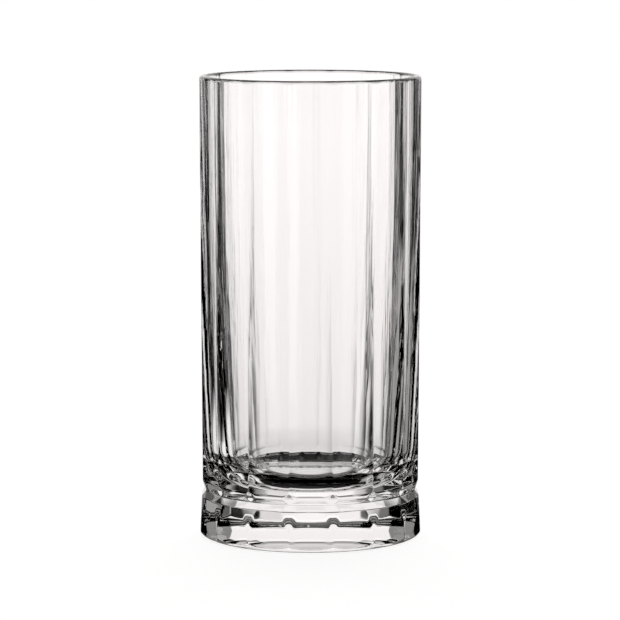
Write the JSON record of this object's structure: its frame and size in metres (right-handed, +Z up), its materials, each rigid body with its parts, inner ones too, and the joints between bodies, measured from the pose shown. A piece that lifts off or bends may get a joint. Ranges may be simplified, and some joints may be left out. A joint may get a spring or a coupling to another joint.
{
  "type": "highball glass",
  "caption": "Tall clear drinking glass with flat vertical panels, a thick base, and a grooved foot with panels to match.",
  "frame": {"origin": "centre of the foot ring, on the table", "axes": "+Z up the axis of the glass to its lip; +X and +Y each pass through the middle of a panel"},
  "size_m": [0.0744, 0.0744, 0.155],
  "materials": {
    "clear_glass": "fire-polished clear soda-lime glass, colourless, smooth inside and out"
  },
  "bodies": {
    "root": {"highball_glass": "clear_glass"}
  },
  "joints": []
}
